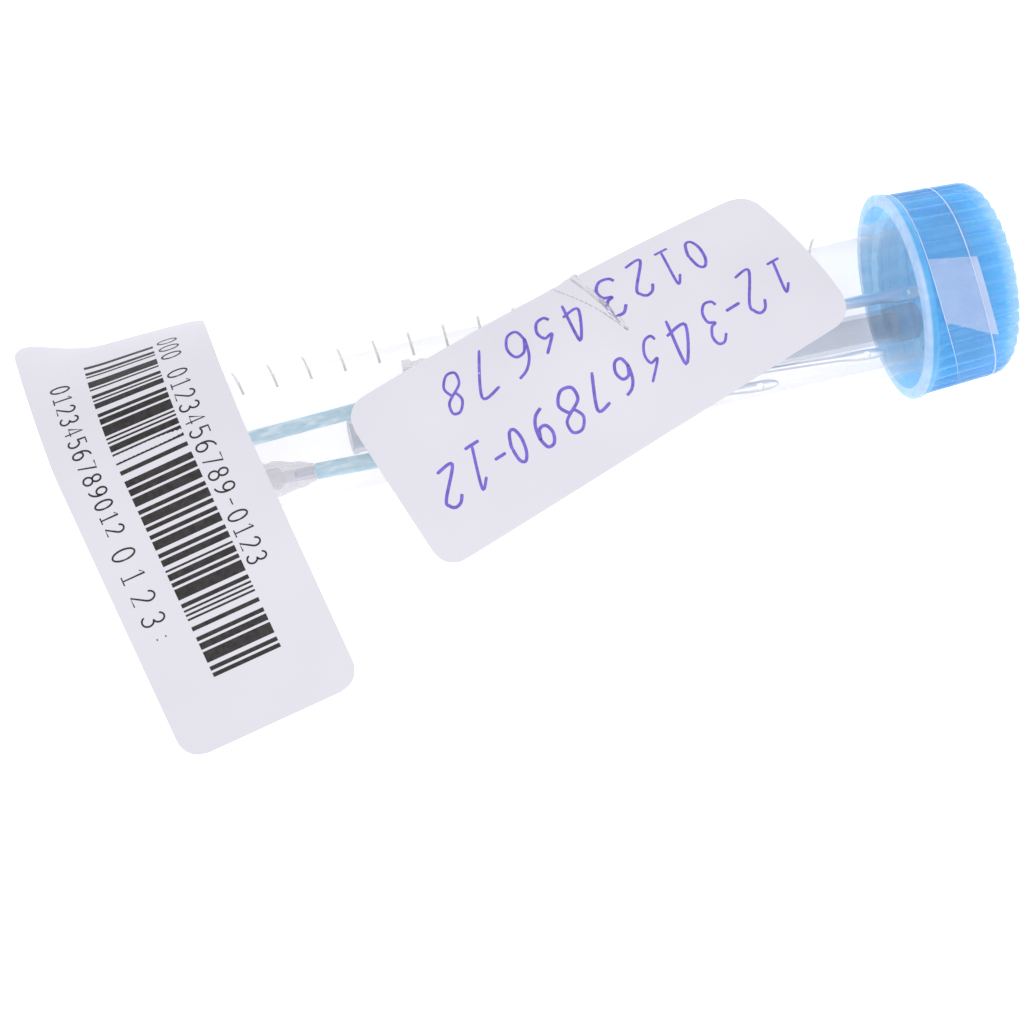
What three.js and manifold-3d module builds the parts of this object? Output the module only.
// A clear screw-cap centrifuge tube lying on its side, with two paper stickers on it and
// five needle-like pokers and their hollow handle stored inside.
// Millimetres. The origin is the centre of the cap's flat end face, +X points out of the cap
// along the tube's axis, and +Z is up while the tube lies down.
import * as THREE from 'three';
import { mergeVertices } from 'three/addons/utils/BufferGeometryUtils.js';
import Module from 'manifold-3d';

// Driving dimensions, in millimetres unless a name says degrees or turns.
const TUBE = {
  radius: 8.4,
  wall: 1.2,
  rimX: -2.9,
  shoulderX: -85.3,
  tipX: -103.3,
  tipRadius: 1.7,
  tipWall: 1.6,
};
const CAP = {
  lipX: -10.3,
  lipRadius: 11.35,
  lipBevel: 0.35,
  bandX: -9.1,
  bandRadius: 11.1,
  ribTopRadius: 10.6,
  faceRadius: 9.7,
  faceBevel: 0.9,
  ribCount: 40,
  ribDepth: 0.35,
  topThickness: 1.5,
  boreRadius: 9.75,
};
const LINER = { radius: 8.9, thickness: 0.8, gap: 0.3 };
const THREAD = { pitch: 3.2, turns: 1.3, tubeStartX: -8.5, capStartX: -9.0, fadeTurns: 0.12, stepsPerTurn: 24 };
const TUBE_RIDGE = { root: 8.2, crest: 9.3, rootWidth: 1.5, crestWidth: 0.6 };
const CAP_RIDGE = { root: 10.0, crest: 8.8, rootWidth: 1.4, crestWidth: 0.5 };
const LABEL = { length: 50, width: 20, corner: 2.5, thickness: 0.2, gap: 0.12 };
const POKER = {
  hubBarrel: 2.4,
  hubCone: 4.2,
  hubSocketDepth: 2.6,
  hubSocketRadius: 1.2,
  hubWall: 0.35,
  sleeveShare: 0.57,
  eyeToTip: 2.1,
  eyeLength: 0.8,
  slack: 0.15,
};
const HANDLE = { radius: 2.05, wall: 0.65, endWall: 2.5, rear: [-71.6, -1.1, -4.75], front: [-6.6, -2.6, -4.35] };

// Each poker: its size number, the rear of its hub, its front tip and its diameters.
const POKERS = [
  { size: '09', rear: [-69.5, -1.2, 0.0], front: [-12.4, -5.6, 0.8], needle: 1.0, sleeve: 1.6, hub: 4.1 },
  { size: '10', rear: [-82.5, -3.95, -1.3], front: [-24.0, -6.15, -1.5], needle: 1.05, sleeve: 1.85, hub: 4.3 },
  { size: '12', rear: [-89.3, 0.8, -2.6], front: [-32.0, 2.9, -4.0], needle: 1.2, sleeve: 1.7, hub: 4.1 },
  { size: '14', rear: [-64.0, 3.3, 0.3], front: [-5.4, 0.4, -3.9], needle: 1.4, sleeve: 1.9, hub: 4.2 },
  { size: '16', rear: [-69.0, -1.0, 4.6], front: [-19.0, -0.4, 2.4], needle: 1.6, sleeve: 2.15, hub: 4.3 },
];

// Where each sticker's middle lies, how it is turned, and how far it follows the tube before
// its end leaves the surface with a slight curl (1/mm) on the +Y and the -Y side.
const BARCODE_LABEL = {
  x: -89.6, across: -4.58, turn: 101.65,
  wrap: { up: 16.1, down: 0 }, curl: { up: 0.05, down: 0.0006 },
};
const WRITTEN_LABEL = {
  x: -43.64, across: -0.38, turn: 19.3,
  wrap: { up: 21.5, down: 0 }, curl: { up: 0.032, down: 0.0136 },
};

const FULL_TURN = 2 * Math.PI;
const ROUND_SEGMENTS = 48;

const wasm = await Module();
wasm.setup();

const materials = {
  clear: { color: 0xe6eaef, roughness: 0.12, metalness: 0 },
  cap: { color: 0x4d9fe0, roughness: 0.35, metalness: 0 },
  liner: { color: 0xe9edf0, roughness: 0.5, metalness: 0 },
  paper: { color: 0xe2e0e8, roughness: 0.8, metalness: 0 },
  steel: { color: 0x9a9a9e, roughness: 0.25, metalness: 1 },
  sleeve: { color: 0xaacddc, roughness: 0.45, metalness: 0 },
  hub: { color: 0xb9b8c4, roughness: 0.35, metalness: 0 },
  handle: { color: 0xc9c8d2, roughness: 0.2, metalness: 0 },
};

// Turns a closed three.js geometry into a manifold solid with its faces pointing out.
function toSolid(geometry) {
  const bare = geometry.clone();
  bare.deleteAttribute('normal');
  bare.deleteAttribute('uv');
  const merged = mergeVertices(bare, 1e-5);
  const vertices = merged.attributes.position.array;
  const corner = (i) => new THREE.Vector3().fromArray(vertices, 3 * i);
  const triangles = [];
  let volume = 0;
  for (let i = 0; i < merged.index.count; i += 3) {
    const [a, b, c] = merged.index.array.slice(i, i + 3);
    if (a !== b && b !== c && c !== a) {
      triangles.push(a, b, c);
      volume += corner(a).dot(corner(b).cross(corner(c)));
    }
  }
  if (volume < 0) triangles.reverse();
  const mesh = new wasm.Mesh({
    numProp: 3,
    vertProperties: new Float32Array(vertices),
    triVerts: new Uint32Array(triangles),
  });
  return new wasm.Manifold(mesh);
}

function toGeometry(solid) {
  const { vertProperties, triVerts } = solid.getMesh();
  const geometry = new THREE.BufferGeometry();
  geometry.setAttribute('position', new THREE.BufferAttribute(vertProperties, 3));
  geometry.setIndex(new THREE.BufferAttribute(triVerts, 1));
  geometry.computeVertexNormals();
  return geometry;
}

function piece(name, solid, finish) {
  const mesh = new THREE.Mesh(toGeometry(solid), new THREE.MeshStandardMaterial(materials[finish]));
  mesh.name = name;
  return mesh;
}

// A solid of revolution about +X from [x, radius] points that close on the axis or on themselves.
function turned(profile, segments = ROUND_SEGMENTS) {
  const points = profile.map(([x, radius]) => new THREE.Vector2(radius, x));
  return toSolid(new THREE.LatheGeometry(points, segments).rotateZ(-Math.PI / 2));
}

// A right-hand helical ridge about +X: a straight extruded bar whose length becomes the turning
// angle, with its height faded down at both ends. The phase, in turns, sets it between the turns
// of its mate.
function threadRidge({ root, crest, rootWidth, crestWidth }, startX, phase) {
  const { turns, pitch } = THREAD;
  const section = new THREE.Shape([
    new THREE.Vector2(root, -rootWidth / 2),
    new THREE.Vector2(crest, -crestWidth / 2),
    new THREE.Vector2(crest, crestWidth / 2),
    new THREE.Vector2(root, rootWidth / 2),
  ]);
  const steps = Math.round(turns * THREAD.stepsPerTurn);
  const bar = new THREE.ExtrudeGeometry(section, { depth: turns, steps, bevelEnabled: false });
  const place = bar.attributes.position;
  for (let i = 0; i < place.count; i += 1) {
    const turn = place.getZ(i);
    const fade = Math.min(1, 0.3 + Math.min(turn, turns - turn) / THREAD.fadeTurns);
    const radius = root + (place.getX(i) - root) * fade;
    const angle = (turn + startX / pitch + phase) * FULL_TURN;
    const x = startX + place.getY(i) * (0.4 + 0.6 * fade) + pitch * turn;
    place.setXYZ(i, x, radius * Math.cos(angle), radius * Math.sin(angle));
  }
  return toSolid(bar);
}

// The conical tube, open at its mouth, with its outside thread.
function tubeBody() {
  const boreRadius = TUBE.radius - TUBE.wall;
  const shell = turned([
    [TUBE.tipX, 0],
    [TUBE.tipX, TUBE.tipRadius * 0.55],
    [TUBE.tipX + 0.5, TUBE.tipRadius],
    [TUBE.shoulderX - 0.8, TUBE.radius - 0.3],
    [TUBE.shoulderX + 0.6, TUBE.radius],
    [TUBE.rimX - 0.2, TUBE.radius],
    [TUBE.rimX, TUBE.radius - 0.2],
    [TUBE.rimX, boreRadius],
    [TUBE.shoulderX + 0.4, boreRadius],
    [TUBE.tipX + TUBE.tipWall + 0.5, TUBE.tipRadius * 0.6],
    [TUBE.tipX + TUBE.tipWall, 0],
  ]);
  return shell.add(threadRidge(TUBE_RIDGE, THREAD.tubeStartX, 0));
}

// A round bar along +X whose outline carries the cap's ribs.
function ribbedBar(rootRadius, length) {
  const outline = [];
  const ribAngle = FULL_TURN / CAP.ribCount;
  for (let rib = 0; rib < CAP.ribCount; rib += 1) {
    for (const [share, height] of [[0.08, 0], [0.28, 1], [0.72, 1], [0.92, 0]]) {
      const angle = (rib + share) * ribAngle;
      const radius = rootRadius + height * CAP.ribDepth;
      outline.push(new THREE.Vector2(radius * Math.cos(angle), radius * Math.sin(angle)));
    }
  }
  const bar = new THREE.ExtrudeGeometry(new THREE.Shape(outline), { depth: length, bevelEnabled: false });
  return bar.rotateY(Math.PI / 2);
}

// The screw cap: a tapering ribbed skirt above a smooth band and a wider lip.
function capShell() {
  const ribLength = -CAP.bandX;
  const ribs = ribbedBar(CAP.bandRadius - CAP.ribDepth - 0.1, ribLength).translate(CAP.bandX, 0, 0);
  const taper = (CAP.bandRadius - CAP.ribTopRadius) / CAP.bandRadius;
  const place = ribs.attributes.position;
  for (let i = 0; i < place.count; i += 1) {
    const shrink = 1 - taper * (place.getX(i) - CAP.bandX) / ribLength;
    place.setXYZ(i, place.getX(i), place.getY(i) * shrink, place.getZ(i) * shrink);
  }
  const roundedEnd = turned([
    [CAP.lipX - 1, 0],
    [CAP.lipX - 1, CAP.lipRadius + 1],
    [CAP.bandX, CAP.lipRadius + 1],
    [-CAP.faceBevel, CAP.ribTopRadius + 0.05],
    [-CAP.faceBevel * 0.3, CAP.faceRadius + 0.5],
    [0, CAP.faceRadius],
    [0, 0],
  ], ROUND_SEGMENTS * 2);
  const lip = turned([
    [CAP.lipX, 0],
    [CAP.lipX, CAP.lipRadius - CAP.lipBevel],
    [CAP.lipX + CAP.lipBevel, CAP.lipRadius],
    [CAP.bandX - 0.2, CAP.bandRadius + 0.1],
    [CAP.bandX + 0.2, CAP.bandRadius - 0.1],
    [CAP.bandX + 0.2, 0],
  ], ROUND_SEGMENTS * 2);
  const bore = turned([
    [CAP.lipX - 1, 0],
    [CAP.lipX - 1, CAP.boreRadius + 0.3],
    [CAP.lipX, CAP.boreRadius + 0.3],
    [CAP.lipX + 0.6, CAP.boreRadius],
    [-CAP.topThickness, CAP.boreRadius],
    [-CAP.topThickness, 0],
  ]);
  const ridge = threadRidge(CAP_RIDGE, THREAD.capStartX, 0.5);
  return toSolid(ribs).intersect(roundedEnd).add(lip).subtract(bore).add(ridge);
}

// The thin sealing disc that the cap presses on the tube's rim.
function capLiner() {
  const front = -CAP.topThickness - LINER.gap;
  return turned([
    [front - LINER.thickness, 0],
    [front - LINER.thickness, LINER.radius - 0.1],
    [front - LINER.thickness / 2, LINER.radius],
    [front, LINER.radius - 0.1],
    [front, 0],
  ]);
}

// The sticker's underside on the cross-section: it follows the tube from the crest, then leaves
// it along the tangent. Returns the point and the direction of the normal there.
function acrossTube(distance, { wrap, curl }) {
  const side = distance >= 0 ? 'up' : 'down';
  const reach = Math.abs(distance);
  const radius = TUBE.radius + LABEL.gap;
  const held = THREE.MathUtils.degToRad(wrap[side]);
  const heldLength = Math.min(reach, radius * held);
  const start = heldLength / radius;
  const bend = curl[side];
  const heading = start + bend * (reach - heldLength);
  const y = radius * Math.sin(start) + (Math.sin(heading) - Math.sin(start)) / bend;
  const z = radius * Math.cos(start) + (Math.cos(heading) - Math.cos(start)) / bend;
  const sign = Math.sign(distance);
  return { y: sign * y, z, normalY: sign * Math.sin(heading), normalZ: Math.cos(heading) };
}

// A rounded rectangle of paper, turned on the tube's surface and bent across it.
function sticker(lie) {
  const { length, width, corner, thickness } = LABEL;
  const sheet = new THREE.BoxGeometry(length, width, thickness, 26, 10, 1);
  const place = sheet.attributes.position;
  const turn = THREE.MathUtils.degToRad(lie.turn);
  for (let i = 0; i < place.count; i += 1) {
    const along = place.getX(i);
    const inCorner = Math.max(0, Math.abs(along) - (length / 2 - corner));
    const halfWidth = width / 2 - corner + Math.sqrt(Math.max(0, corner ** 2 - inCorner ** 2));
    const across = place.getY(i) * halfWidth / (width / 2);
    const lift = place.getZ(i) + thickness / 2;
    const x = lie.x + along * Math.cos(turn) - across * Math.sin(turn);
    const distance = lie.across + along * Math.sin(turn) + across * Math.cos(turn);
    const { y, z, normalY, normalZ } = acrossTube(distance, lie);
    place.setXYZ(i, x, y + lift * normalY, z + lift * normalZ);
  }
  return toSolid(sheet);
}

// A group whose +X runs from the rear point to the front point, and the distance between them.
function along(rear, front) {
  const start = new THREE.Vector3(...rear);
  const run = new THREE.Vector3(...front).sub(start);
  const group = new THREE.Group();
  group.position.copy(start);
  group.quaternion.setFromUnitVectors(new THREE.Vector3(1, 0, 0), run.clone().normalize());
  return { group, length: run.length() };
}

// A round steel shank with a tapered point and an eye through it near the front.
function needle(radius, rearX, frontX) {
  const sides = 12;
  const eyeX = frontX - POKER.eyeToTip;
  const rod = turned([
    [rearX, 0],
    [rearX, radius],
    [frontX - 2.4 * radius, radius],
    [frontX - 0.9 * radius, radius * 0.6],
    [frontX, 0],
  ], sides);
  const eye = new THREE.CylinderGeometry(radius * 0.5, radius * 0.5, radius * 4, sides)
    .scale(POKER.eyeLength / radius, 1, 1)
    .rotateX(Math.PI / 2)
    .translate(eyeX, 0, 0);
  return rod.subtract(toSolid(eye));
}

// One poker: a socketed plastic hub, a film-wrapped sleeve and the steel needle that runs through
// both and stands out of the sleeve.
function poker({ size, rear, front, needle: thickness, sleeve, hub }) {
  const { group, length } = along(rear, front);
  const { hubBarrel, hubCone, hubSocketDepth, hubSocketRadius, hubWall, sleeveShare, slack } = POKER;
  const boreRadius = thickness / 2 + slack;
  const noseX = hubBarrel + hubCone;
  const hubSolid = turned([
    [0, hubSocketRadius],
    [0, hub / 2 - 0.25],
    [0.25, hub / 2],
    [1.1, hub / 2],
    [1.3, hub / 2 - hubWall],
    [hubBarrel, hub / 2 - hubWall],
    [noseX, sleeve / 2 + 0.2],
    [noseX, boreRadius],
    [hubSocketDepth + 0.5, boreRadius],
    [hubSocketDepth, hubSocketRadius],
    [0, hubSocketRadius],
  ], 24);
  const sleeveStart = noseX + slack;
  const sleeveEnd = noseX + sleeveShare * length;
  const sleeveSolid = turned([
    [sleeveStart, boreRadius],
    [sleeveStart, sleeve / 2],
    [sleeveEnd - 0.3, sleeve / 2],
    [sleeveEnd, sleeve / 2 - 0.1],
    [sleeveEnd, boreRadius],
    [sleeveStart, boreRadius],
  ], 16);
  const needleSolid = needle(thickness / 2, hubSocketDepth + 1, length);
  group.add(piece(`poker_${size}_hub`, hubSolid, 'hub'));
  group.add(piece(`poker_${size}_sleeve`, sleeveSolid, 'sleeve'));
  group.add(piece(`poker_${size}_needle`, needleSolid, 'steel'));
  return group;
}

// The pokers' hollow handle, open at its rear end.
function handle() {
  const { group, length } = along(HANDLE.rear, HANDLE.front);
  const inner = HANDLE.radius - HANDLE.wall;
  const barrel = turned([
    [0, inner],
    [0, HANDLE.radius - 0.15],
    [0.15, HANDLE.radius],
    [length - 0.4, HANDLE.radius],
    [length, HANDLE.radius - 0.4],
    [length, 0],
    [length - HANDLE.endWall, 0],
    [length - HANDLE.endWall, inner],
    [0, inner],
  ], 24);
  group.add(piece('handle', barrel, 'handle'));
  return group;
}

const tube = new THREE.Group();
tube.add(piece('tube_body', tubeBody(), 'clear'));
tube.add(piece('cap_shell', capShell(), 'cap'));
tube.add(piece('cap_liner', capLiner(), 'liner'));
tube.add(piece('barcode_label', sticker(BARCODE_LABEL), 'paper'));
tube.add(piece('written_label', sticker(WRITTEN_LABEL), 'paper'));
for (const item of POKERS) tube.add(poker(item));
tube.add(handle());

export default tube;
